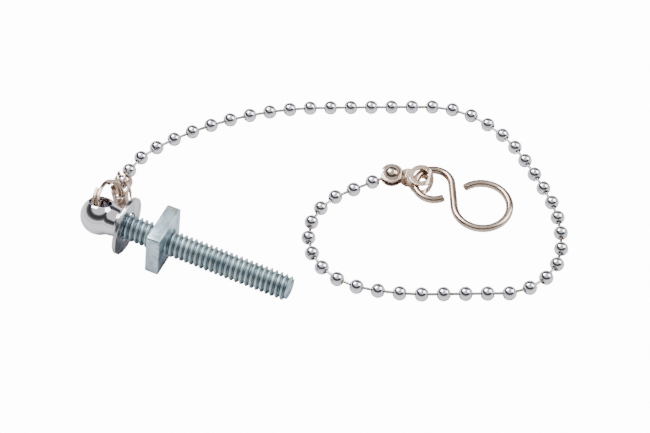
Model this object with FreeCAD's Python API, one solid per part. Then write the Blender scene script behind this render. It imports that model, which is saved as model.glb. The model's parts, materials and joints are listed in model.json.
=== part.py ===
import FreeCAD, Part
import math
import os

os.makedirs("parts", exist_ok=True)

# Ball-chain stay: a ball-headed stay bolt with a loose washer and a square nut, a split ring
# through the ball, and a bead chain with a folded coupling at each end and an S-hook.
# Millimetres. The origin is the centre of the washer seat, on the bolt's axis. +Z is up and
# +X is the stud's direction seen from above. The bolt leans down to its tip, because it rests
# on the washer's rim and on the tip.

Vector = FreeCAD.Vector
UP = Vector(0, 0, 1)

# Stay bolt, 1/4-20 thread
thread_diameter = 6.2
thread_pitch = 1.27
thread_depth = 0.69
thread_start = 1.4
stud_length = 42.4
tip_chamfer = 0.7
shank_diameter = 5.0
shank_length = 3.4
head_diameter = 9.2
head_reach = 6.1
collar_diameter = 7.6
collar_thickness = 1.0
neck_diameter = 6.6
neck_taper = 0.7
cross_hole_diameter = 4.9
cross_hole_offset = 0.6
cross_hole_lean = 20.0
cross_hole_chamfer = 1.05

# Washer and square nut
washer_diameter = 14.0
washer_thickness = 1.0
washer_play = 0.25
washer_gap = 0.3
nut_across_flats = 11.8
nut_thickness = 3.4
nut_place = 8.4
nut_corner_diameter = 16.2
nut_roll = 0.0
thread_play = 0.07

# Split ring
ring_diameter = 12.4
ring_wire = 0.95
ring_strand_gap = 0.06
ring_turns = 1.94
ring_azimuth = 5.0
ring_drop = 16.0
ring_roll = 16.0

# Bead chain
bead_diameter = 3.4
bead_wall = 0.2
bead_hole_diameter = 1.34
bead_hole_flare = 20.0
bead_pitch = 5.04
pin_diameter = 0.7
pin_head_diameter = 1.4
pin_head_play = 0.04
# Each run is a number of links and the angle, in degrees, that every one turns to the right.
chain_heading = 100.0
chain_runs = [
    (1, 18.0),
    (1, 15.0),
    (1, 9.0),
    (8, 4.2),
    (5, 0.3),
    (1, 11.0),
    (2, 14.0),
    (3, 8.5),
    (3, 2.0),
    (3, 7.5),
    (1, 12.0),
    (4, 18.5),
    (3, 0.0),
    (3, 5.0),
    (1, 14.0),
    (7, 17.5),
    (2, 4.0),
    (1, 0.0),
]

# Folded coupling, one at each end of the chain
strip_thickness = 0.45
cup_play = 0.12
cup_slit = 1.1
flange_width = 0.42
eye_gap = 3.2
eye_diameter = 6.0
eye_hole_diameter = 3.5
eye_centre = 7.2
fold_centre = 8.2
neck_width = 2.7
mouth_width = 1.4
mouth_height = 2.3
ring_rest = 6.8
near_coupling_azimuth = -24.0
far_coupling_azimuth = 80.0
far_link_rise = 0.5

# S-hook
hook_wire = 1.8
large_loop_radius = 6.6
small_loop_radius = 4.4
loop_spacing = 12.9
large_loop_opening = 57.0
small_loop_opening = 63.0
hook_reach = 10.4
hook_offset = 1.0
hook_azimuth = 95.6
hook_roll = 7.0

rise_gap = 0.05


def unit(vector):
    """The same direction with a length of one."""
    return Vector(vector).multiply(1.0 / vector.Length)


def compass(azimuth, elevation=0.0):
    """A direction: azimuth is measured from +Y towards +X, elevation up from level."""
    a = math.radians(azimuth)
    e = math.radians(elevation)
    return Vector(math.sin(a) * math.cos(e), math.cos(a) * math.cos(e), math.sin(e))


def turned(vector, axis, degrees):
    """A vector turned about an axis through the origin."""
    return FreeCAD.Rotation(axis, degrees).multVec(vector)


def level_right(direction):
    """The level direction to the right of another one."""
    return unit(direction.cross(UP))


def placed(shape, origin, x_axis, z_axis):
    """A copy of a shape with its own X and Z axes laid along the given ones."""
    x = unit(x_axis)
    y = unit(z_axis.cross(x))
    copy = shape.copy()
    frame = FreeCAD.Placement(origin, FreeCAD.Rotation(x, y, x.cross(y), "XZY"))
    copy.Placement = frame.multiply(shape.Placement)
    return copy


def rod(diameter, start, end):
    """A round bar between two points."""
    along = end - start
    return Part.makeCylinder(diameter / 2, along.Length, start, along)


def ball(diameter, centre=Vector(0, 0, 0)):
    """A sphere about a point."""
    return Part.makeSphere(diameter / 2, centre)


def write(shape, name):
    """Save one node."""
    shape.exportStep("parts/" + name + ".step")


# --- The bolt's lean and the height of the floor -------------------------------------------

washer_far_face = washer_gap + washer_thickness
bolt_lean = math.degrees(
    math.atan((washer_diameter - thread_diameter) / 2 / (stud_length - tip_chamfer - washer_far_face))
)
lean = math.radians(bolt_lean)
floor_height = -(washer_far_face * math.sin(lean) + washer_diameter / 2 * math.cos(lean))


def leaned(vector):
    """A direction or a point in the bolt's own frame, where X is the stud's axis."""
    return turned(vector, Vector(0, 1, 0), bolt_lean)


def on_bolt(shape):
    """A copy of a shape made along X, laid along the leaning stud."""
    return placed(shape, Vector(0, 0, 0), leaned(Vector(1, 0, 0)), leaned(UP))


def helical_bar(half_widths, start, turns, phase):
    """A bar wound round the X axis. half_widths lists (radius, half width) from inside out."""
    radii = [radius for radius, _ in half_widths]
    helix = Part.makeHelix(thread_pitch, thread_pitch * turns, sum(radii) / len(radii))
    rising = [Vector(radius, 0, width) for radius, width in half_widths]
    falling = [Vector(radius, 0, -width) for radius, width in reversed(half_widths)]
    outline = Part.makePolygon(rising + falling + rising[:1])
    bar = Part.Wire(helix.Edges).makePipeShell([outline], True, True)
    bar.rotate(Vector(0, 0, 0), UP, phase)
    bar.rotate(Vector(0, 0, 0), Vector(0, 1, 0), 90)
    bar.translate(Vector(start, 0, 0))
    return bar


# --- Stay bolt: threaded stud --------------------------------------------------------------

crest_radius = thread_diameter / 2
root_radius = crest_radius - thread_depth
flank = math.tan(math.radians(30))
root_half_width = thread_pitch / 8
groove_overshoot = 0.2


def groove_half_width(radius):
    """Half the width of the thread's groove at a radius."""
    return root_half_width + (radius - root_radius) * flank


groove_turns = math.ceil((stud_length - thread_start) / thread_pitch) + 1
groove_outer = crest_radius + groove_overshoot
groove = helical_bar(
    [(root_radius, root_half_width), (groove_outer, groove_half_width(groove_outer))],
    thread_start,
    groove_turns,
    0,
)
along_stud = Vector(1, 0, 0)
blank = Part.makeCylinder(crest_radius, stud_length - tip_chamfer, Vector(0, 0, 0), along_stud)
tip = Part.makeCone(
    crest_radius,
    crest_radius - tip_chamfer,
    tip_chamfer,
    Vector(stud_length - tip_chamfer, 0, 0),
    along_stud,
)
shank = Part.makeCylinder(
    shank_diameter / 2, shank_length, Vector(-shank_length, 0, 0), along_stud
)
threaded_stud = blank.fuse([tip, shank]).removeSplitter().cut(groove)
write(on_bolt(threaded_stud), "threaded_stud")

# --- Stay bolt: ball head with its collar and cross hole -----------------------------------

head_centre = Vector(-head_reach, 0, 0)
hole_centre = Vector(-head_reach - cross_hole_offset, 0, 0)
hole_axis = leaned(turned(UP, Vector(1, 0, 0), -cross_hole_lean))
hole_point = leaned(hole_centre)

collar = Part.makeCylinder(
    collar_diameter / 2, collar_thickness, Vector(-collar_thickness, 0, 0), along_stud
)
collar = collar.makeFillet(collar_thickness * 0.3, [collar.Edges[0]])
neck = Part.makeCone(
    neck_diameter / 2 + neck_taper, neck_diameter / 2, head_reach, head_centre, along_stud
)
solid_head = ball(head_diameter, head_centre).fuse([neck, collar])
socket = Part.makeCylinder(
    shank_diameter / 2, shank_length, Vector(-shank_length, 0, 0), along_stud
)
head = on_bolt(solid_head.cut(socket))
cross_hole = rod(
    cross_hole_diameter, hole_point - hole_axis * head_diameter, hole_point + hole_axis * head_diameter
)
hole_mouth = math.sqrt(
    (head_diameter / 2) ** 2 - cross_hole_offset**2 - (cross_hole_diameter / 2) ** 2
)
mouths = []
for side in (-1, 1):
    outward = hole_axis * side
    mouth_start = hole_point + outward * (hole_mouth - cross_hole_chamfer)
    mouth_radius = cross_hole_diameter / 2
    mouths.append(
        Part.makeCone(mouth_radius, mouth_radius + 2, 2, mouth_start, outward)
    )
write(head.cut([cross_hole] + mouths), "ball_head")

# --- Washer --------------------------------------------------------------------------------

washer_hole_diameter = thread_diameter + 2 * washer_play
washer = Part.makeCylinder(
    washer_diameter / 2, washer_thickness, Vector(washer_gap, 0, 0), along_stud
)
rim_edges = [edge for edge in washer.Edges if len(edge.Vertexes) == 1]
washer = washer.makeFillet(washer_thickness * 0.2, rim_edges)
washer_hole = Part.makeCylinder(
    washer_hole_diameter / 2, washer_thickness, Vector(washer_gap, 0, 0), along_stud
)
write(on_bolt(washer.cut(washer_hole)), "washer")

# --- Square nut, on the same thread --------------------------------------------------------

half_flat = nut_across_flats / 2
nut_body = Part.makeBox(
    nut_thickness, nut_across_flats, nut_across_flats, Vector(nut_place, -half_flat, -half_flat)
)
corner_round = Part.makeCylinder(
    nut_corner_diameter / 2, nut_thickness, Vector(nut_place, 0, 0), along_stud
)
nut_body = nut_body.common(corner_round)
nut_body.rotate(Vector(0, 0, 0), along_stud, nut_roll)
nut_minor_radius = root_radius + thread_depth * 0.16
nut_major_radius = crest_radius + thread_play
turns_before_nut = math.floor((nut_place - thread_start) / thread_pitch) - 1
plug_start = thread_start + thread_pitch * turns_before_nut
plug_turns = math.ceil(nut_thickness / thread_pitch) + 3
plug = Part.makeCylinder(
    nut_major_radius, thread_pitch * plug_turns, Vector(plug_start, 0, 0), along_stud
)
plug_outer = nut_major_radius + groove_overshoot
plug_groove = helical_bar(
    [
        (nut_minor_radius, groove_half_width(nut_minor_radius) - thread_play),
        (plug_outer, groove_half_width(plug_outer) - thread_play),
    ],
    plug_start - thread_pitch,
    plug_turns + 2,
    0,
)
lead_in = crest_radius + 0.25
countersinks = []
for face, inward in ((nut_place, 1), (nut_place + nut_thickness, -1)):
    depth = lead_in - nut_minor_radius
    countersinks.append(
        Part.makeCone(lead_in, nut_minor_radius, depth, Vector(face, 0, 0), Vector(inward, 0, 0))
    )
square_nut = nut_body.cut(plug.cut(plug_groove)).cut(countersinks)
write(on_bolt(square_nut), "square_nut")

# --- Split ring through the ball's cross hole ----------------------------------------------

ring_radius = (ring_diameter - ring_wire) / 2
ring_chord = head_diameter / 2
ring_sagitta = ring_radius - math.sqrt(max(ring_radius**2 - ring_chord**2, 0))
ring_out = compass(ring_azimuth, -ring_drop)
ring_centre = hole_point + ring_out * (ring_radius - ring_sagitta * 0.3)
ring_up = turned(unit(UP - ring_out * UP.dot(ring_out)), ring_out, -ring_roll)
ring_normal = unit(ring_up.cross(ring_out))
strand_pitch = ring_wire + ring_strand_gap
ring_path = Part.makeHelix(strand_pitch, strand_pitch * ring_turns, ring_radius)
ring_section = Part.Wire(
    Part.makeCircle(ring_wire / 2, Vector(ring_radius, 0, 0), Vector(0, 1, 0))
)
split_ring = Part.Wire(ring_path.Edges).makePipeShell([ring_section], True, True)
split_ring.translate(Vector(0, 0, -strand_pitch * ring_turns / 2))
strand_tilt = math.degrees(math.atan(strand_pitch / 4 / ring_radius))
split_ring.rotate(Vector(0, 0, 0), Vector(1, 0, 0), strand_tilt)
split_ring = placed(split_ring, ring_centre, ring_up, ring_normal)
write(split_ring, "split_ring")
ring_seat = ring_centre + ring_out * ring_radius

# --- Folded coupling: two cups on one strip, folded to an eye ------------------------------

cup_inner = bead_diameter / 2 + cup_play
cup_outer = cup_inner + strip_thickness
leaf_height = (eye_gap + strip_thickness) / 2
flange_height = (cup_slit + strip_thickness) / 2


def strip_profile():
    """The upper half of the folded strip seen from its side, as a closed face."""
    half = strip_thickness / 2
    slope_start = cup_outer + 0.25
    slope_end = slope_start + (leaf_height - flange_height) * 1.15
    inner_start = Vector(cup_inner + 0.1, 0, flange_height - half)
    lower = [inner_start, Vector(slope_start, 0, flange_height - half)]
    lower += [Vector(slope_end, 0, leaf_height - half), Vector(fold_centre, 0, leaf_height - half)]
    upper = [Vector(fold_centre, 0, leaf_height + half), Vector(slope_end - 0.2, 0, leaf_height + half)]
    upper += [Vector(slope_start - 0.2, 0, flange_height + half)]
    upper += [Vector(cup_inner + 0.1, 0, flange_height + half)]
    return Part.Face(Part.makePolygon(lower + upper + [inner_start]))


def coupling():
    """The coupling about the centre of the ball it holds, with its eye towards +X."""
    side = eye_diameter
    leaf = strip_profile().extrude(Vector(0, side, 0))
    leaf.translate(Vector(0, -side / 2, 0))
    fold = Part.makeCylinder(
        leaf_height + strip_thickness / 2, side, Vector(fold_centre, -side / 2, 0), Vector(0, 1, 0)
    )
    fold = fold.cut(
        Part.makeCylinder(eye_gap / 2, side, Vector(fold_centre, -side / 2, 0), Vector(0, 1, 0))
    )
    half_space = Part.makeBox(side, side, 2 * side, Vector(fold_centre, -side / 2, -side))
    fold = fold.common(half_space)
    lower_leaf = leaf.mirror(Vector(0, 0, 0), UP)
    strip = leaf.fuse([lower_leaf, fold])
    outline = Part.makeBox(eye_centre, neck_width, 2 * side, Vector(0, -neck_width / 2, -side))
    disc = Part.makeCylinder(eye_diameter / 2, 2 * side, Vector(eye_centre, 0, -side), UP)
    strip = strip.common(outline.fuse(disc))
    eye_hole = Part.makeCylinder(
        eye_hole_diameter / 2, 2 * side, Vector(eye_centre, 0, -side), UP
    )
    flange_height = cup_slit + 2 * strip_thickness
    flange_radius = cup_outer + flange_width
    flange = Part.makeCylinder(flange_radius, flange_height, Vector(0, 0, -flange_height / 2), UP)
    cups = ball(2 * cup_outer).fuse([flange, strip]).cut(ball(2 * cup_inner))
    slit_reach = flange_radius + 0.3
    slit = Part.makeBox(
        2 * slit_reach, 2 * slit_reach, cup_slit, Vector(-slit_reach, -slit_reach, -cup_slit / 2)
    )
    mouth = Part.makeBox(
        flange_radius,
        mouth_width,
        mouth_height,
        Vector(-flange_radius, -mouth_width / 2, -mouth_height / 2),
    )
    return cups.cut([slit, mouth, eye_hole])


folded_coupling = coupling()
near_out = compass(near_coupling_azimuth)
near_height = floor_height + cup_outer + flange_width + rise_gap
near_drop = ring_seat.z - near_height
near_reach = math.sqrt(ring_rest**2 - near_drop**2)
bead_centres = [ring_seat + near_out * near_reach - UP * near_drop]
near_along = unit(ring_seat - bead_centres[0])
near_stack = unit(ring_normal - near_along * ring_normal.dot(near_along))
write(placed(folded_coupling, bead_centres[0], near_along, near_stack), "ring_coupling")

# --- Bead chain: hollow beads on dumbbell pins ---------------------------------------------

lying_height = floor_height + bead_diameter / 2
link_headings = []
heading = chain_heading
for links, turn in chain_runs:
    for _ in range(links):
        link_headings.append(heading)
        heading = heading - turn
bead_count = len(link_headings) + 1
# The far coupling rolls with the last link, so its eye's leaves reach lower on one side.
last_slope = math.asin(far_link_rise / bead_pitch)
last_bend = math.radians(link_headings[-1] + far_coupling_azimuth - 90)
far_roll = math.atan(math.tan(last_slope) / abs(math.sin(last_bend)))
eye_reach = leaf_height + strip_thickness / 2
far_height = floor_height + eye_reach * math.cos(far_roll) + rise_gap
far_height += eye_diameter / 2 * math.sin(far_roll)
heights = [bead_centres[0].z] + [lying_height] * (bead_count - 3)
heights += [far_height - far_link_rise, far_height]
for number, heading in enumerate(link_headings):
    rise = heights[number + 1] - heights[number]
    level = math.sqrt(bead_pitch**2 - rise**2)
    angle = math.radians(heading)
    step = Vector(level * math.cos(angle), level * math.sin(angle), rise)
    bead_centres.append(bead_centres[-1] + step)
link_directions = [
    unit(bead_centres[number + 1] - bead_centres[number]) for number in range(bead_count - 1)
]
pin_head_radius = pin_head_diameter / 2
pin_head_place = bead_diameter / 2 - bead_wall - pin_head_play - pin_head_radius


def spun(edges):
    """A solid of revolution about Z from a closed outline in the XZ plane."""
    return Part.Face(Part.Wire(edges)).revolve(Vector(0, 0, 0), UP, 360)


def line(first, last):
    """A straight edge in the XZ plane between two (x, z) points."""
    return Part.makeLine(Vector(first[0], 0, first[1]), Vector(last[0], 0, last[1]))


def curve(first, through, last):
    """A circular edge in the XZ plane through three (x, z) points."""
    points = [Vector(x, 0, z) for x, z in (first, through, last)]
    return Part.Arc(*points).toShape()


def bead():
    """A hollow bead about the origin, with a flared hole at each end of its Z axis."""
    outer = bead_diameter / 2
    inner = outer - bead_wall
    inner_hole = bead_hole_diameter / 2
    outer_hole = inner_hole + bead_wall * math.tan(math.radians(bead_hole_flare))
    outer_lip = math.sqrt(outer**2 - outer_hole**2)
    inner_lip = math.sqrt(inner**2 - inner_hole**2)
    return spun(
        [
            curve((outer_hole, -outer_lip), (outer, 0), (outer_hole, outer_lip)),
            line((outer_hole, outer_lip), (inner_hole, inner_lip)),
            curve((inner_hole, inner_lip), (inner, 0), (inner_hole, -inner_lip)),
            line((inner_hole, -inner_lip), (outer_hole, -outer_lip)),
        ]
    )


def pin():
    """A link pin along Z from the middle of one bead to the middle of the next."""
    neck = pin_diameter / 2
    root = math.sqrt(pin_head_radius**2 - neck**2)
    near = pin_head_place
    far = bead_pitch - pin_head_place
    return spun(
        [
            curve((0, near - pin_head_radius), (pin_head_radius, near), (neck, near + root)),
            line((neck, near + root), (neck, far - root)),
            curve((neck, far - root), (pin_head_radius, far), (0, far + pin_head_radius)),
            line((0, far + pin_head_radius), (0, near - pin_head_radius)),
        ]
    )


far_along = compass(far_coupling_azimuth)
bead_shape = bead()
pin_shape = pin()
arriving = link_directions[:1] + link_directions
leaving = link_directions + link_directions[-1:]
for number, centre in enumerate(bead_centres):
    hole_direction = unit(arriving[number] + leaving[number])
    solids = [placed(bead_shape, centre, level_right(hole_direction), hole_direction)]
    if number + 1 < bead_count:
        away = leaving[number]
        solids.append(placed(pin_shape, centre, level_right(away), away))
    write(Part.makeCompound(solids), "bead_%02d" % (number + 1))

# --- Far coupling and S-hook ---------------------------------------------------------------

far_stack = unit(link_directions[-1].cross(far_along))
if far_stack.z < 0:
    far_stack = far_stack * -1
write(placed(folded_coupling, bead_centres[-1], far_along, far_stack), "hook_coupling")

hook_left = unit(UP.cross(far_along))
small_middle = bead_centres[-1] + far_along * hook_reach - hook_left * hook_offset


def hook_path():
    """The S-hook's centre line: X from the small loop's middle to the large loop's."""
    spread = math.acos((large_loop_radius + small_loop_radius) / loop_spacing)
    small = Vector(0, 0, 0)
    large = Vector(loop_spacing, 0, 0)

    def point(middle, radius, angle):
        return middle + Vector(radius * math.cos(angle), radius * math.sin(angle), 0)

    def arc(middle, radius, first, last):
        ends = [first, (first + last) / 2, last]
        return Part.Arc(*[point(middle, radius, angle) for angle in ends]).toShape()

    small_last = spread
    small_first = spread + 2 * math.pi - math.radians(small_loop_opening)
    large_first = spread + math.pi
    large_last = large_first + 2 * math.pi - math.radians(large_loop_opening)
    middle = Part.LineSegment(
        point(small, small_loop_radius, small_last), point(large, large_loop_radius, large_first)
    )
    return Part.Wire(
        [
            arc(small, small_loop_radius, small_first, small_last),
            middle.toShape(),
            arc(large, large_loop_radius, large_first, large_last),
        ]
    )


path = hook_path()
first_edge = path.Edges[0]
hook_section = Part.Wire(
    Part.makeCircle(
        hook_wire / 2,
        first_edge.valueAt(first_edge.FirstParameter),
        first_edge.tangentAt(first_edge.FirstParameter),
    )
)
s_hook = path.makePipeShell([hook_section], True, True)
hook_level = compass(hook_azimuth)
large_height = floor_height + hook_wire / 2 + rise_gap
large_height += large_loop_radius * math.sin(math.radians(hook_roll))
hook_axis = unit(hook_level * loop_spacing - UP * (small_middle.z - large_height))
hook_up = turned(unit(UP - hook_axis * UP.dot(hook_axis)), hook_axis, hook_roll)
write(placed(s_hook, small_middle, hook_axis, hook_up), "s_hook")
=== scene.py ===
import json
import math

import bmesh
import bpy
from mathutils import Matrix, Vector

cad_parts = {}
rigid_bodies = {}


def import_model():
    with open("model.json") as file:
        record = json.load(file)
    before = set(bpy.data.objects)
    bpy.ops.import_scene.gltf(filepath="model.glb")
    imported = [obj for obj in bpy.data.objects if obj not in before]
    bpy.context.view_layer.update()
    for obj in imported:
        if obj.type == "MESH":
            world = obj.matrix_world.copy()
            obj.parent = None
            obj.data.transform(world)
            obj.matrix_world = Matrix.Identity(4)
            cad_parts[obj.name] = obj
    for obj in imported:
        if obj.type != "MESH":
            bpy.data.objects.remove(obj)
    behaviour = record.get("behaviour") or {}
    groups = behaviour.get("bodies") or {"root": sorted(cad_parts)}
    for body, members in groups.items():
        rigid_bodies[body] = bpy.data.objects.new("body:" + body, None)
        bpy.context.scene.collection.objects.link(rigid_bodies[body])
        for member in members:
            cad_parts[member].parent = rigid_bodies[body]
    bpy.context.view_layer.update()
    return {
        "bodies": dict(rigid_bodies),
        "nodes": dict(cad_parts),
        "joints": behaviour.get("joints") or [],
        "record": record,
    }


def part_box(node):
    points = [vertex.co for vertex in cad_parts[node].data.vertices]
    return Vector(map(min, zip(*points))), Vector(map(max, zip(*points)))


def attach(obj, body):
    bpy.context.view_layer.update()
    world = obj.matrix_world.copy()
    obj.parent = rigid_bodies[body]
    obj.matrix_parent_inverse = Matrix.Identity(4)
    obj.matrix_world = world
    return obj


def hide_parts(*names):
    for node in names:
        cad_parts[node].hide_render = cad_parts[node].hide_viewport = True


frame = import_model()

MM = 0.001
UP = Vector((0, 0, 1))
joint_to = {joint["child"]: joint for joint in frame["joints"]}
mount = {entry["name"]: entry for entry in frame["record"]["mounts"]}


# --- Finishes ------------------------------------------------------------------------------
# Bright chrome, a darker washer steel, bluish zinc, a warm nickel and the pins' own metal. Each
# has its own unevenness in roughness, colour and surface, measured in object coordinates.

class Socket:
    """A value in a material's tree. Python's arithmetic on it adds maths nodes."""

    def __init__(self, tree, output):
        self.tree = tree
        self.output = output

    def math(self, operation, *values):
        node = self.tree.nodes.new("ShaderNodeMath")
        node.operation = operation
        for place, value in zip(node.inputs, values):
            if isinstance(value, Socket):
                self.tree.links.new(value.output, place)
            else:
                place.default_value = value
        return Socket(self.tree, node.outputs[0])

    def __add__(self, other):
        return self.math("ADD", self, other)

    def __radd__(self, other):
        return self.math("ADD", other, self)

    def __sub__(self, other):
        return self.math("SUBTRACT", self, other)

    def __rsub__(self, other):
        return self.math("SUBTRACT", other, self)

    def __mul__(self, other):
        return self.math("MULTIPLY", self, other)

    def __rmul__(self, other):
        return self.math("MULTIPLY", other, self)

    def __truediv__(self, other):
        return self.math("DIVIDE", self, other)

    def __rtruediv__(self, other):
        return self.math("DIVIDE", other, self)

    def __pow__(self, other):
        return self.math("POWER", self, other)

    def between(self, low, high):
        """0 below low, 1 above high, and a smooth rise between them."""
        return self.node("ShaderNodeMapRange", {"Value": self, "From Min": low, "From Max": high},
                         interpolation_type="SMOOTHSTEP")

    def node(self, kind, inputs, output=0, **settings):
        """Any other node, with its settings and inputs; its chosen output comes back."""
        made = self.tree.nodes.new(kind)
        for name, value in settings.items():
            setattr(made, name, value)
        for name, value in inputs.items():
            if isinstance(value, Socket):
                self.tree.links.new(value.output, made.inputs[name])
            else:
                made.inputs[name].default_value = value
        return Socket(self.tree, made.outputs[output])


def metal(name, **constants):
    """A metallic material, its object coordinates, and a function that fills its sockets."""
    material = bpy.data.materials.new(name)
    material.use_nodes = True
    tree = material.node_tree
    shader = tree.nodes["Principled BSDF"]
    shader.inputs["Metallic"].default_value = 1.0
    for socket, value in constants.items():
        shader.inputs[socket.replace("_", " ")].default_value = value
    coordinates = tree.nodes.new("ShaderNodeTexCoord")

    def fill(socket, value):
        tree.links.new(value.output, shader.inputs[socket])

    return material, Socket(tree, coordinates.outputs["Object"]), fill


def noise(place, scale, detail=3.0, roughness=0.55):
    """Noise with its features about 1/scale metres across."""
    return place.node("ShaderNodeTexNoise", {"Vector": place, "Scale": scale, "Detail": detail,
                                             "Roughness": roughness})


def blend(amount, first, second):
    """Between two colours."""
    return amount.node("ShaderNodeMix", {0: amount, 6: first, 7: second}, output=2,
                       data_type="RGBA")


def bump(height, strength, distance):
    """A normal from a height."""
    return height.node("ShaderNodeBump",
                       {"Height": height, "Strength": strength, "Distance": distance})


chrome, at, fill = metal("polished_chrome", IOR=2.5)
cloud = noise(at, 260.0)
fine = noise(at, 2600.0, 4.0)
fill("Base Color", blend(cloud, (0.70, 0.69, 0.75, 1), (0.84, 0.83, 0.87, 1)))
fill("Roughness", 0.035 + 0.05 * cloud.between(0.35, 0.75) + 0.03 * fine)
fill("Normal", bump(fine, 0.04, 0.00005))

washer_steel, at, fill = metal("washer_steel")
cloud = noise(at, 330.0, 4.0)
fine = noise(at, 3000.0, 4.0)
fill("Base Color", blend(cloud.between(0.35, 0.7), (0.38, 0.38, 0.42, 1), (0.60, 0.60, 0.64, 1)))
fill("Roughness", 0.12 + 0.1 * cloud + 0.05 * fine)
fill("Normal", bump(fine, 0.08, 0.00005))

bead_chrome, at, fill = metal("bead_chrome", IOR=2.5)
cloud = noise(at, 420.0)
fine = noise(at, 5200.0, 4.0)
fill("Base Color", blend(cloud, (0.66, 0.66, 0.71, 1), (0.82, 0.81, 0.86, 1)))
fill("Roughness", 0.04 + 0.07 * cloud.between(0.4, 0.7) + 0.04 * fine)
fill("Normal", bump(fine, 0.08, 0.00005))

pin_metal, at, fill = metal("pin_metal")
cloud = noise(at, 900.0)
fine = noise(at, 6000.0, 4.0)
fill("Base Color", blend(cloud.between(0.35, 0.7), (0.46, 0.44, 0.46, 1), (0.44, 0.33, 0.26, 1)))
fill("Roughness", 0.16 + 0.14 * fine)
fill("Normal", bump(fine, 0.15, 0.00006))

zinc, at, fill = metal("zinc_plate")
cloud = noise(at, 190.0, 5.0)
patch = noise(at, 520.0, 4.0, 0.7)
fine = noise(at, 4200.0, 6.0, 0.65)
groove = at.node("ShaderNodeAttribute", {}, output=2, attribute_name="groove")
mottle = (0.5 * cloud + 0.5 * patch).between(0.36, 0.64)
cool = blend(mottle, (0.26, 0.37, 0.44, 1), (0.64, 0.76, 0.82, 1))
plate = blend(patch.between(0.50, 0.78), cool, (0.52, 0.58, 0.48, 1))
# Painted shade: the groove attribute darkens the thread roots towards near black.
fill("Base Color", blend(groove.between(0.4, 1.0), plate, (0.16, 0.20, 0.20, 1)))
fill("Roughness", 0.24 + 0.13 * cloud + 0.1 * fine + 0.1 * groove)
fill("Normal", bump(0.5 * fine + 0.5 * patch, 0.3, 0.00012))

nickel, at, fill = metal("warm_nickel")
cloud = noise(at, 240.0)
fine = noise(at, 3800.0, 5.0)
fill("Base Color", blend(cloud.between(0.3, 0.7), (0.42, 0.31, 0.24, 1), (0.64, 0.50, 0.40, 1)))
fill("Roughness", 0.12 + 0.08 * cloud + 0.05 * fine)
fill("Normal", bump(cloud, 0.06, 0.00005))


# --- Stay bolt: the ball head --------------------------------------------------------------
# One turned piece: ball, tapered neck and collar, drilled across for the split ring, with a
# well-rounded mouth at each end of the hole. It is drilled, then skinned afresh and eased.

stud_axis = Vector(joint_to["washer"]["axis"])
stud_left = UP.cross(stud_axis).normalized()
stud_up = stud_axis.cross(stud_left)


def on_stud(x, radius, angle):
    """A point in metres at x mm along the stud; the angle goes round it from straight down."""
    side = stud_left * math.sin(angle) - stud_up * math.cos(angle)
    return (stud_axis * x + side * radius) * MM


def new_object(name, material, mesh):
    """A smooth-shaded object with one material."""
    made = bpy.data.objects.new(name, mesh)
    bpy.context.scene.collection.objects.link(made)
    mesh.materials.clear()
    mesh.materials.append(material)
    mesh.shade_smooth()
    return made


def lathe(name, profile, point, sides):
    """A closed mesh from (along, radius) pairs; point(along, radius, angle) places each."""
    mesh = bpy.data.meshes.new(name)
    shape = bmesh.new()
    rings = []
    for along, radius in profile:
        if radius <= 0:
            rings.append([shape.verts.new(point(along, 0, 0))])
        else:
            rings.append([shape.verts.new(point(along, radius, math.tau * step / sides))
                          for step in range(sides)])
    for low, high in zip(rings, rings[1:]):
        for step in range(sides):
            corners = [low[step % len(low)], low[(step + 1) % len(low)],
                       high[(step + 1) % len(high)], high[step % len(high)]]
            shape.faces.new(list(dict.fromkeys(corners)))
    for end in (rings[0], rings[-1]):
        if len(end) > 1:
            shape.faces.new(end)
    bmesh.ops.recalc_face_normals(shape, faces=shape.faces)
    shape.to_mesh(mesh)
    shape.free()
    return mesh


def arc(centre, radius, first, last, steps):
    """(along, radius) pairs on a circle about a centre, from first to last degrees."""
    angles = [math.radians(first + (last - first) * step / steps) for step in range(steps + 1)]
    return [(centre[0] + radius * math.cos(a), centre[1] + radius * math.sin(a)) for a in angles]


def applied(made):
    """The object's mesh with its modifiers worked in and taken off."""
    bpy.context.view_layer.update()
    shaped = made.evaluated_get(bpy.context.evaluated_depsgraph_get())
    mesh = bpy.data.meshes.new_from_object(shaped)
    made.modifiers.clear()
    made.data = mesh
    mesh.shade_smooth()
    return made


def cut_with(made, tool):
    """Takes a tool object out of another one, and drops the tool."""
    step = made.modifiers.new("cut", "BOOLEAN")
    step.operation = "DIFFERENCE"
    step.solver = "EXACT"
    step.object = tool
    applied(made)
    bpy.data.objects.remove(tool)
    return made


def eased(made, grain, rounds):
    """Skins an object afresh at a grain in mm and smooths it, which rounds its edges."""
    skin = made.modifiers.new("skin", "REMESH")
    skin.mode = "VOXEL"
    skin.voxel_size = grain * MM
    smooth = made.modifiers.new("smooth", "SMOOTH")
    smooth.factor = 0.5
    smooth.iterations = rounds
    return applied(made)


head_profile = [(-10.7, 0)] + arc((-6.1, 0), 4.6, 178, 57, 60)
head_profile += [(-3.2, 3.70), (-2.6, 3.59), (-1.9, 3.50), (-1.3, 3.44), (-1.04, 3.46)]
head_profile += [(-1.0, 3.66), (-0.9, 3.77), (-0.75, 3.8), (-0.1, 3.8), (0, 3.72), (0, 0)]
head = new_object("ball_head_turned", chrome,
                  lathe("ball_head_turned", head_profile, on_stud, 128))
hole_middle = Vector(joint_to["split_ring"]["pos_m"]) / MM
hole_axis = Vector(joint_to["split_ring"]["axis"])
hole_side = hole_axis.cross(stud_axis).normalized()
hole_front = hole_side.cross(hole_axis)


def in_hole(along, radius, angle):
    side = hole_side * math.cos(angle) + hole_front * math.sin(angle)
    return (hole_middle + hole_axis * along + side * radius) * MM


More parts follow.
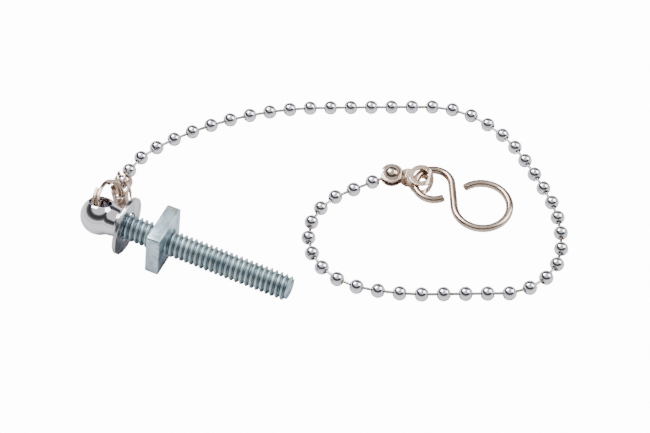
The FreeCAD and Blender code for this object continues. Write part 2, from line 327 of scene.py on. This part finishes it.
flare = arc((2.6, 4.45), 2.0, 270, 330, 10)
drill = [(-along, radius) for along, radius in reversed(flare)] + flare
drill = [(-6.5, 0), (-6.5, drill[0][1] + 0.8)] + drill + [(6.5, drill[-1][1] + 0.8), (6.5, 0)]
cut_with(head, new_object("drill", chrome, lathe("drill", drill, in_hole, 96)))
eased(head, 0.08, 6)
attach(head, "stay_bolt")
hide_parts("ball_head")


# --- Stay bolt: the threaded stud ----------------------------------------------------------
# The thread is one grid sheared along its own helix, so that crests and roots run cleanly
# round it. The start is hidden in the head's collar; the tip is chamfered. A groove attribute,
# 1 in the groove and 0 on the crest, darkens the thread's roots with painted shade.

pitch = 1.27
thread_start = 1.4


def thread_height(phase):
    """From 0 in the groove's middle to 1 on the crest, with eased corners."""
    rise = min(phase, 1 - phase)
    level = min(max((rise - 0.125) / 0.3125, 0.0), 1.0)
    return level * level * (3 - 2 * level) * 0.35 + level * 0.65


def threaded(name, root, crest, first, last, tip, ease=1.0):
    """A closed bar along the stud with a thread; tip is the radius left at its chamfered end."""
    sides = 72
    steps = 14
    rows = int((last - first) / pitch * steps) + 3 * steps
    mesh = bpy.data.meshes.new(name)
    shape = bmesh.new()
    groove = shape.verts.layers.float.new("groove")
    grid = []
    for row in range(rows):
        ring = []
        for side in range(sides):
            turn = side / sides
            x = thread_start + pitch * (row / steps + turn - 2)
            x += pitch * math.floor((first - thread_start) / pitch)
            x = min(max(x, first), last)
            height = thread_height(((x - thread_start) / pitch - turn) % 1)
            radius = min(root + (crest - root) * height, tip + (last - x) * ease, crest)
            vertex = shape.verts.new(on_stud(x, radius, math.tau * turn))
            vertex[groove] = 1 - height
            ring.append(vertex)
        grid.append(ring)
    for row in range(rows - 1):
        for side in range(sides - 1):
            shape.faces.new([grid[row][side], grid[row][side + 1],
                             grid[row + 1][side + 1], grid[row + 1][side]])
        if row + 1 + steps < rows:
            shape.faces.new([grid[row][-1], grid[row + steps][0],
                             grid[row + steps + 1][0], grid[row + 1][-1]])
    bmesh.ops.remove_doubles(shape, verts=shape.verts, dist=0.0000004)
    bmesh.ops.dissolve_degenerate(shape, edges=shape.edges, dist=0.0000004)
    open_edges = [edge for edge in shape.edges if edge.is_boundary]
    bmesh.ops.holes_fill(shape, edges=open_edges, sides=0)
    bmesh.ops.recalc_face_normals(shape, faces=shape.faces)
    shape.to_mesh(mesh)
    shape.free()
    return mesh


stud = new_object("stud_rolled", zinc,
                  threaded("stud_rolled", 2.42, 3.1, -0.4, 42.4, 2.38))
stud.data.set_sharp_from_angle(angle=math.radians(50))
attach(stud, "stay_bolt")
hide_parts("threaded_stud")


# --- Washer --------------------------------------------------------------------------------
# A punched disc with rolled edges and a very slightly dished face, against the collar.

washer_profile = [(0.42, 3.38), (0.34, 3.5), (0.3, 3.7), (0.31, 5.2), (0.32, 6.7)]
washer_profile += arc((0.52, 6.8), 0.2, 180, 90, 5) + arc((1.08, 6.8), 0.2, 90, 0, 5)
washer_profile += [(1.3, 6.4), (1.3, 3.7), (1.27, 3.5), (1.18, 3.38)]
washer_mesh = lathe("washer_pressed", washer_profile + washer_profile[:1], on_stud, 160)
shape = bmesh.new()
shape.from_mesh(washer_mesh)
caps = [face for face in shape.faces if len(face.verts) > 4]
bmesh.ops.delete(shape, geom=caps, context="FACES_ONLY")
bmesh.ops.remove_doubles(shape, verts=shape.verts, dist=0.000001)
bmesh.ops.recalc_face_normals(shape, faces=shape.faces)
shape.to_mesh(washer_mesh)
shape.free()
washer = new_object("washer_pressed", washer_steel, washer_mesh)
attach(washer, "washer")
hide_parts("washer")


# --- Square nut ----------------------------------------------------------------------------
# A sheared square blank with soft edges, tapped with the stud's own thread and countersunk.

nut_first, nut_last, nut_half, nut_roll = 8.4, 11.8, 5.9, 0.0
shape = bmesh.new()
corners = []
for x in (nut_first, nut_last):
    for turn in range(4):
        angle = nut_roll + math.pi / 4 + math.pi / 2 * turn
        corners.append(shape.verts.new(on_stud(x, nut_half * math.sqrt(2), angle)))
shape.faces.new(corners[:4])
shape.faces.new(corners[4:])
for turn in range(4):
    after = (turn + 1) % 4
    shape.faces.new([corners[turn], corners[after], corners[4 + after], corners[4 + turn]])
bmesh.ops.recalc_face_normals(shape, faces=shape.faces)
upright = [edge for edge in shape.edges
           if abs((edge.verts[0].co - edge.verts[1].co).normalized().dot(stud_axis)) > 0.9]
bmesh.ops.bevel(shape, geom=upright, offset=0.6 * MM, segments=6, profile=0.5, affect="EDGES")
rims = [edge for edge in shape.edges
        if abs((edge.verts[0].co - edge.verts[1].co).normalized().dot(stud_axis)) < 0.1]
bmesh.ops.bevel(shape, geom=rims, offset=0.32 * MM, segments=4, profile=0.5, affect="EDGES")
nut_mesh = bpy.data.meshes.new("nut_blank")
shape.to_mesh(nut_mesh)
shape.free()
nut = new_object("nut_blank", zinc, nut_mesh)
tap = new_object("tap", zinc, threaded("tap", 2.52, 3.17, nut_first - 2, nut_last + 2, 3.17))
cut_with(nut, tap)
for end, side in ((nut_first, 1), (nut_last, -1)):
    outside, inside = end - 0.5 * side, end + 0.9 * side
    cone = [(outside, 0), (outside, 3.9), (inside, 2.5), (inside, 0)]
    cut_with(nut, new_object("cone", zinc, lathe("cone", cone, on_stud, 72)))
nut.data.set_sharp_from_angle(angle=math.radians(32))
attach(nut, "square_nut")
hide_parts("square_nut")


# --- Split ring ----------------------------------------------------------------------------
# One wire wound twice, through the ball's cross hole. The Drawn wire node group sweeps a
# round section along a path, and serves the S-hook too.

def add(group, kind, **settings):
    made = group.nodes.new(kind)
    for name, value in settings.items():
        setattr(made, name, value)
    return made


wire_group = bpy.data.node_groups.new("Drawn wire", "GeometryNodeTree")
for name, kind in (("Path", "NodeSocketGeometry"), ("Wire radius", "NodeSocketFloat"),
                   ("Flatness", "NodeSocketFloat"), ("Sides", "NodeSocketInt"),
                   ("Finish", "NodeSocketMaterial")):
    wire_group.interface.new_socket(name, in_out="INPUT", socket_type=kind)
wire_group.interface.new_socket("Wire", in_out="OUTPUT", socket_type="NodeSocketGeometry")
taken = add(wire_group, "NodeGroupInput")
given = add(wire_group, "NodeGroupOutput")
line = add(wire_group, "GeometryNodeMeshToCurve")
ring = add(wire_group, "GeometryNodeCurvePrimitiveCircle")
squash = add(wire_group, "GeometryNodeTransform")
scale = add(wire_group, "ShaderNodeCombineXYZ")
scale.inputs["X"].default_value = 1.0
scale.inputs["Z"].default_value = 1.0
sweep = add(wire_group, "GeometryNodeCurveToMesh")
sweep.inputs["Fill Caps"].default_value = True
real = add(wire_group, "GeometryNodeRealizeInstances")
paint = add(wire_group, "GeometryNodeSetMaterial")
for first, last in (
    (taken.outputs["Path"], line.inputs["Mesh"]),
    (taken.outputs["Wire radius"], ring.inputs["Radius"]),
    (taken.outputs["Sides"], ring.inputs["Resolution"]),
    (taken.outputs["Flatness"], scale.inputs["Y"]),
    (ring.outputs["Curve"], squash.inputs["Geometry"]),
    (scale.outputs["Vector"], squash.inputs["Scale"]),
    (line.outputs["Curve"], sweep.inputs["Curve"]),
    (squash.outputs["Geometry"], sweep.inputs["Profile Curve"]),
    (sweep.outputs["Mesh"], real.inputs["Geometry"]),
    (real.outputs["Geometry"], paint.inputs["Geometry"]),
    (taken.outputs["Finish"], paint.inputs["Material"]),
    (paint.outputs["Geometry"], given.inputs["Wire"]),
):
    wire_group.links.new(first, last)


def run_group(made, group, values):
    """Gives an object a node group with its inputs, and works it into a plain mesh."""
    step = made.modifiers.new(group.name, "NODES")
    step.node_group = group
    for item in group.interface.items_tree:
        if item.item_type == "SOCKET" and item.in_out == "INPUT" and item.name in values:
            step[item.identifier] = values[item.name]
    return applied(made)


def wire(name, points, radius, flatness, material):
    """A wire through points in mm."""
    mesh = bpy.data.meshes.new(name)
    edges = [(i, i + 1) for i in range(len(points) - 1)]
    mesh.from_pydata([point * MM for point in points], edges, [])
    made = new_object(name, material, mesh)
    values = {"Wire radius": radius * MM, "Flatness": flatness, "Sides": 44, "Finish": material}
    run_group(made, wire_group, values)
    shape = bmesh.new()
    shape.from_mesh(made.data)
    caps = [face for face in shape.faces if len(face.verts) > 4]
    edges = list({edge for face in caps for edge in face.edges})
    bmesh.ops.bevel(shape, geom=edges, offset=radius * 0.22 * MM, segments=3, profile=0.5,
                    affect="EDGES")
    bmesh.ops.recalc_face_normals(shape, faces=shape.faces)
    shape.to_mesh(made.data)
    shape.free()
    made.data.shade_smooth()
    return made


ring_radius, strand_pitch, ring_turns = 5.725, 1.01, 1.94
ring_seat = Vector(joint_to["ring_coupling"]["pos_m"]) / MM
ring_out = (ring_seat - hole_middle).normalized()
ring_up = Vector(joint_to["ring_coupling"]["axis"])
ring_normal = ring_up.cross(ring_out)
ring_middle = ring_seat - ring_out * ring_radius
tilt = strand_pitch / 4 / ring_radius
turned_out = ring_out + ring_normal * tilt
turned_normal = ring_normal - ring_out * tilt
points = []
for step in range(361):
    turn = ring_turns * step / 360
    angle = math.tau * turn
    flat = (ring_up * math.cos(angle) + turned_out * math.sin(angle)) * ring_radius
    points.append(ring_middle + flat + turned_normal * strand_pitch * (turn - ring_turns / 2))
split_ring = wire("split_ring_wire", points, 0.46, 1.0, nickel)
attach(split_ring, "split_ring")
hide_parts("split_ring")


# --- Coupling on the ring, and the one on the hook -----------------------------------------
# Folded strip with pressed cups. The pressed form is eased all over, because a stamping has
# no sharp bend, and its cut edges are tumbled.

for node in ("ring_coupling", "hook_coupling"):
    strip = new_object(node + "_strip", nickel, frame["nodes"][node].data.copy())
    eased(strip, 0.075, 7)
    strip.data.materials.clear()
    strip.data.materials.append(nickel)
    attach(strip, node)
    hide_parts(node)


# --- Bead chain ----------------------------------------------------------------------------
# Each bead is a thin shell rolled shut round its link pins, with a curled lip at both holes.
# The Bead and pin node group lays one bead and its outgoing pin at a joint.

bead_profile = arc((0, 0), 1.7, 154, 26, 32) + [(1.46, 0.715), (1.39, 0.69)]
bead_profile += arc((0, 0), 1.5, 27.5, 152.5, 16) + [(-1.39, 0.69), (-1.46, 0.715)]


def on_axis(along, radius, angle):
    return Vector((radius * math.cos(angle), radius * math.sin(angle), along)) * MM


bead_mesh = lathe("bead_shell", bead_profile + bead_profile[:1], on_axis, 40)
shape = bmesh.new()
shape.from_mesh(bead_mesh)
caps = [face for face in shape.faces if len(face.verts) > 4]
bmesh.ops.delete(shape, geom=caps, context="FACES_ONLY")
bmesh.ops.remove_doubles(shape, verts=shape.verts, dist=0.000001)
bmesh.ops.recalc_face_normals(shape, faces=shape.faces)
shape.to_mesh(bead_mesh)
shape.free()
head_arc = arc((0.76, 0), 0.7, 180, 31, 12)
pin_profile = [(0.06, 0)] + head_arc[1:]
pin_profile += [(along, radius) for along, radius in ((1.5, 0.35), (2.0, 0.34), (2.52, 0.33))]
pin_profile += [(5.04 - along, radius) for along, radius in reversed(pin_profile[:-1])]
pin_mesh = lathe("link_pin", pin_profile, on_axis, 24)
bead_pattern = new_object("bead_pattern", bead_chrome, bead_mesh)
pin_pattern = new_object("pin_pattern", pin_metal, pin_mesh)

bead_group = bpy.data.node_groups.new("Bead and pin", "GeometryNodeTree")
for name, kind in (("Base", "NodeSocketGeometry"), ("Bead", "NodeSocketObject"),
                   ("Pin", "NodeSocketObject"), ("Place", "NodeSocketVector"),
                   ("Bead axis", "NodeSocketVector"), ("Pin axis", "NodeSocketVector"),
                   ("Has pin", "NodeSocketBool"), ("Bead finish", "NodeSocketMaterial"),
                   ("Pin finish", "NodeSocketMaterial")):
    bead_group.interface.new_socket(name, in_out="INPUT", socket_type=kind)
bead_group.interface.new_socket("Link", in_out="OUTPUT", socket_type="NodeSocketGeometry")
taken = add(bead_group, "NodeGroupInput")
given = add(bead_group, "NodeGroupOutput")
joined = add(bead_group, "GeometryNodeJoinGeometry")
for pattern, axis, finish, chosen in (("Bead", "Bead axis", "Bead finish", None),
                                      ("Pin", "Pin axis", "Pin finish", "Has pin")):
    spot = add(bead_group, "GeometryNodePoints")
    info = add(bead_group, "GeometryNodeObjectInfo")
    turn = add(bead_group, "FunctionNodeAlignRotationToVector", axis="Z")
    copies = add(bead_group, "GeometryNodeInstanceOnPoints")
    real = add(bead_group, "GeometryNodeRealizeInstances")
    paint = add(bead_group, "GeometryNodeSetMaterial")
    for first, last in (
        (taken.outputs["Place"], spot.inputs["Position"]),
        (taken.outputs[pattern], info.inputs["Object"]),
        (taken.outputs[axis], turn.inputs["Vector"]),
        (spot.outputs[0], copies.inputs["Points"]),
        (info.outputs["Geometry"], copies.inputs["Instance"]),
        (turn.outputs[0], copies.inputs["Rotation"]),
        (copies.outputs[0], real.inputs[0]),
        (real.outputs[0], paint.inputs["Geometry"]),
        (taken.outputs[finish], paint.inputs["Material"]),
        (paint.outputs[0], joined.inputs[0]),
    ):
        bead_group.links.new(first, last)
    if chosen:
        bead_group.links.new(taken.outputs[chosen], copies.inputs["Selection"])
bead_group.links.new(joined.outputs[0], given.inputs["Link"])

bead_names = sorted(name for name in frame["bodies"] if name.startswith("bead_"))
centres = [Vector(joint_to[name]["pos_m"]) for name in bead_names]
steps = [(after - before).normalized() for before, after in zip(centres, centres[1:])]
for number, name in enumerate(bead_names):
    arriving = steps[max(number - 1, 0)]
    leaving = steps[min(number, len(steps) - 1)]
    link = new_object(name + "_link", bead_chrome, bpy.data.meshes.new(name))
    run_group(link, bead_group, {
        "Bead": bead_pattern, "Pin": pin_pattern, "Place": centres[number],
        "Bead axis": (arriving + leaving).normalized(), "Pin axis": leaving,
        "Has pin": number < len(steps), "Bead finish": bead_chrome, "Pin finish": pin_metal,
    })
    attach(link, name)
    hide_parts(name)
bpy.data.objects.remove(bead_pattern)
bpy.data.objects.remove(pin_pattern)


# --- S-hook --------------------------------------------------------------------------------
# One wire: the small loop closed on the coupling, the S middle, and the large loop left open.

small_radius, large_radius = 4.4, 6.6
small_middle = Vector(joint_to["s_hook"]["pos_m"]) / MM
large_middle = Vector(mount["hook_loop"]["pos_m"]) / MM
hook_up = Vector(joint_to["s_hook"]["axis"])
hook_axis = (large_middle - small_middle).normalized()
hook_left = hook_up.cross(hook_axis)
spacing = (large_middle - small_middle).length
spread = math.acos((small_radius + large_radius) / spacing)


def on_hook(x, radius, angle):
    along = hook_axis * (x + radius * math.cos(angle))
    return small_middle + along + hook_left * radius * math.sin(angle)


small_opening, large_opening = math.radians(63), math.radians(57)
small_start = spread + math.tau - small_opening
large_start = spread + math.pi
small_turn = spread - small_start
large_turn = math.tau - large_opening
points = [on_hook(0, small_radius, small_start + small_turn * step / 120) for step in range(121)]
last_small, first_large = points[-1], on_hook(spacing, large_radius, large_start)
points += [last_small.lerp(first_large, step / 12) for step in range(1, 12)]
points += [on_hook(spacing, large_radius, large_start + large_turn * step / 200)
           for step in range(201)]
s_hook = wire("s_hook_wire", points, 0.9, 1.0, nickel)
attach(s_hook, "s_hook")
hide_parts("s_hook")


# --- Floor, light and camera ---------------------------------------------------------------
# The floor is plain white to the camera and a lit pale grey to reflections. The room is bright
# overhead and low down, with a dark band between, which the chrome mirrors.

floor_height = min(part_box(node)[0].z for node in frame["nodes"])
mesh = bpy.data.meshes.new("floor")
reach = 1.5
corners = [(-reach, -reach), (reach, -reach), (reach, reach), (-reach, reach)]
mesh.from_pydata([(x, y, floor_height) for x, y in corners], [], [(0, 1, 2, 3)])
floor_finish = bpy.data.materials.new("floor")
floor_finish.use_nodes = True
tree = floor_finish.node_tree
shader = tree.nodes["Principled BSDF"]
shader.inputs["Base Color"].default_value = (0.62, 0.62, 0.64, 1)
shader.inputs["Roughness"].default_value = 0.8
white = tree.nodes.new("ShaderNodeEmission")
white.inputs["Strength"].default_value = 14.0
seen = tree.nodes.new("ShaderNodeLightPath").outputs["Is Camera Ray"]
mix = tree.nodes.new("ShaderNodeMixShader")
tree.links.new(seen, mix.inputs[0])
tree.links.new(shader.outputs[0], mix.inputs[1])
tree.links.new(white.outputs[0], mix.inputs[2])
tree.links.new(mix.outputs[0], tree.nodes["Material Output"].inputs["Surface"])
floor = new_object("floor", floor_finish, mesh)

world = bpy.data.worlds.new("studio")
world.use_nodes = True
bpy.context.scene.world = world
tree = world.node_tree
direction = Socket(tree, tree.nodes.new("ShaderNodeTexCoord").outputs["Generated"])
height = direction.node("ShaderNodeSeparateXYZ", {"Vector": direction}, output=2)
room = height.node("ShaderNodeValToRGB", {"Fac": height})
ramp = room.output.node.color_ramp
for place, level in ((0.0, 0.95), (0.14, 0.8), (0.30, 0.2), (0.52, 0.05), (0.72, 0.09),
                     (0.82, 1.1), (1.0, 1.5)):
    stop = ramp.elements.new(place) if place not in (0.0, 1.0) else ramp.elements[int(place)]
    stop.color = (level, level, level * 1.03, 1)
tree.links.new(room.output, tree.nodes["Background"].inputs["Color"])
tree.nodes["Background"].inputs["Strength"].default_value = 1.0

target = Vector((40.1, 25.4, floor_height / MM + 1.7)) * MM
for name, place, size, energy in (("key", (-0.25, 0.1, 0.55), 0.35, 6.0),
                                  ("fill", (0.45, 0.25, 0.45), 0.4, 4.0)):
    lamp = bpy.data.lights.new(name, "AREA")
    lamp.size = size
    lamp.energy = energy
    made = bpy.data.objects.new(name, lamp)
    made.location = Vector(place)
    made.rotation_euler = (target - made.location).to_track_quat("-Z", "Y").to_euler()
    bpy.context.scene.collection.objects.link(made)

camera = bpy.data.cameras.new("camera")
camera.lens = 126.5
camera.sensor_width = 36
camera.clip_start = 0.01
viewpoint = bpy.data.objects.new("camera", camera)
view_direction = Vector((-0.268, 0.634, -0.725)).normalized()
viewpoint.location = target - view_direction * 0.54
viewpoint.rotation_euler = view_direction.to_track_quat("-Z", "Y").to_euler()
bpy.context.scene.collection.objects.link(viewpoint)
bpy.context.scene.camera = viewpoint
